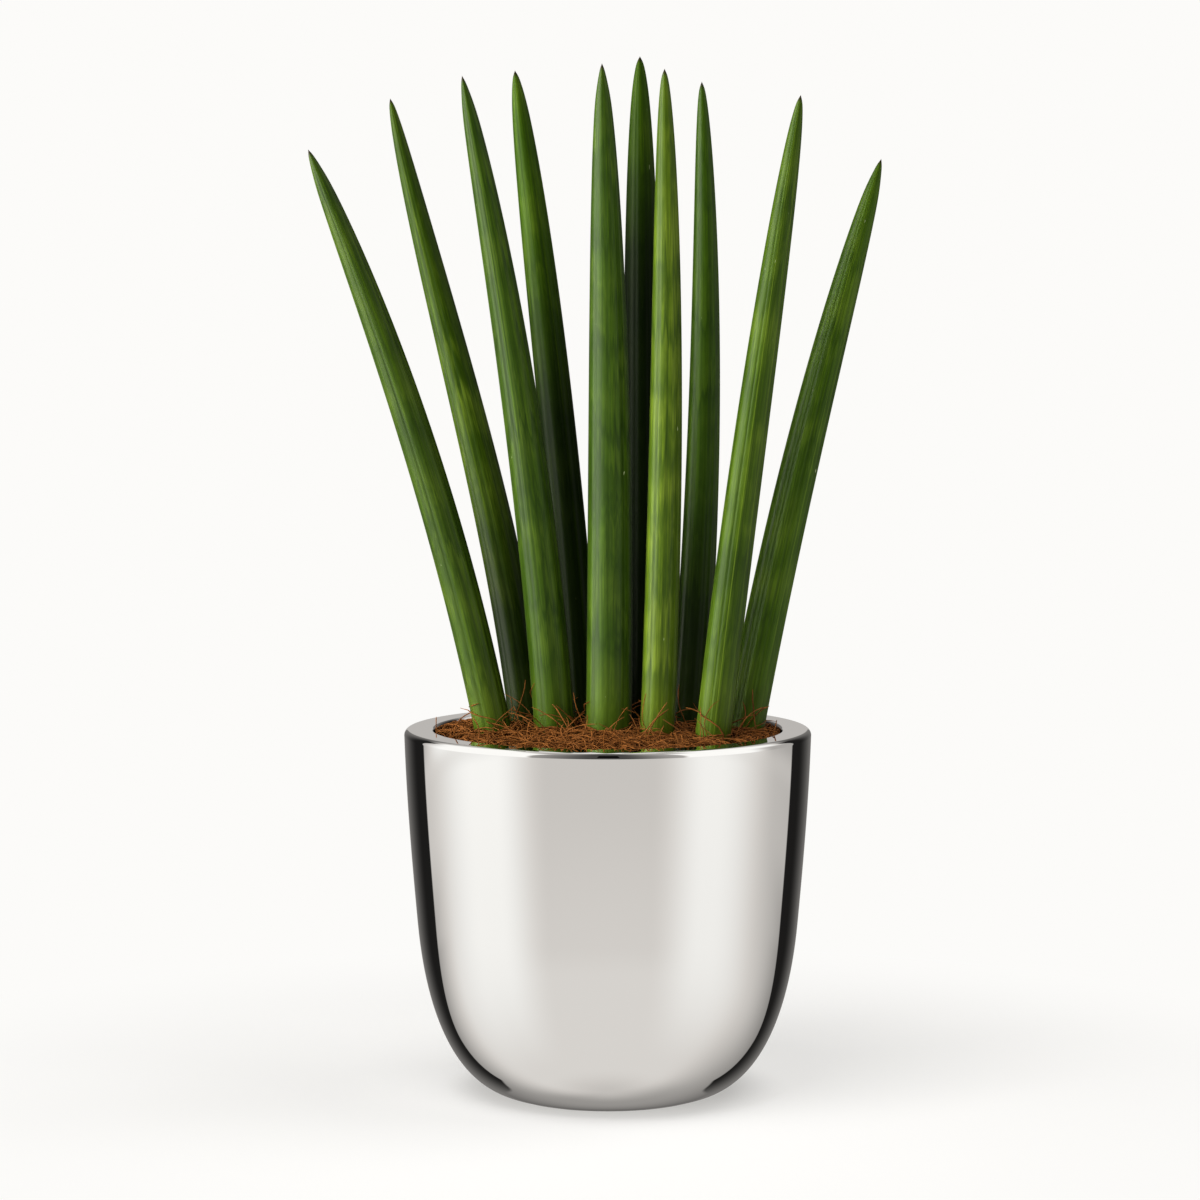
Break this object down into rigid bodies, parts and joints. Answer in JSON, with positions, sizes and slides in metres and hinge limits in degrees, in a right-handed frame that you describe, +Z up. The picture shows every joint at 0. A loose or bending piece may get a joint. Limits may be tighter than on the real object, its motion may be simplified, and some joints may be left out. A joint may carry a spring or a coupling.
{
  "type": "cylindrical snake plant in a pot",
  "caption": "Potted cylindrical snake plant: upright round pointed leaves fanning out of a mirror-bright round-bottomed pot mulched with coconut fibre.",
  "frame": {"origin": "centre of the pot's flat foot, on the surface that it stands on", "axes": "+Z up along the pot's axis, -Y the front from which the leaves fan out to left and right, +X to the right seen from the front"},
  "size_m": [0.2804, 0.2, 0.5115],
  "materials": {
    "pot": "mirror-bright silver plating",
    "leaf": "waxy satin, lengthwise grooves, darker bands across",
    "coir": "dry fibre",
    "soil": "crumbly, matt"
  },
  "bodies": {
    "root": {"pot": "pot", "soil": "soil", "coir": "coir", "leaf_01": "leaf", "leaf_02": "leaf", "leaf_03": "leaf", "leaf_04": "leaf", "leaf_05": "leaf", "leaf_06": "leaf", "leaf_07": "leaf", "leaf_08": "leaf", "leaf_09": "leaf", "leaf_10": "leaf"}
  },
  "joints": []
}
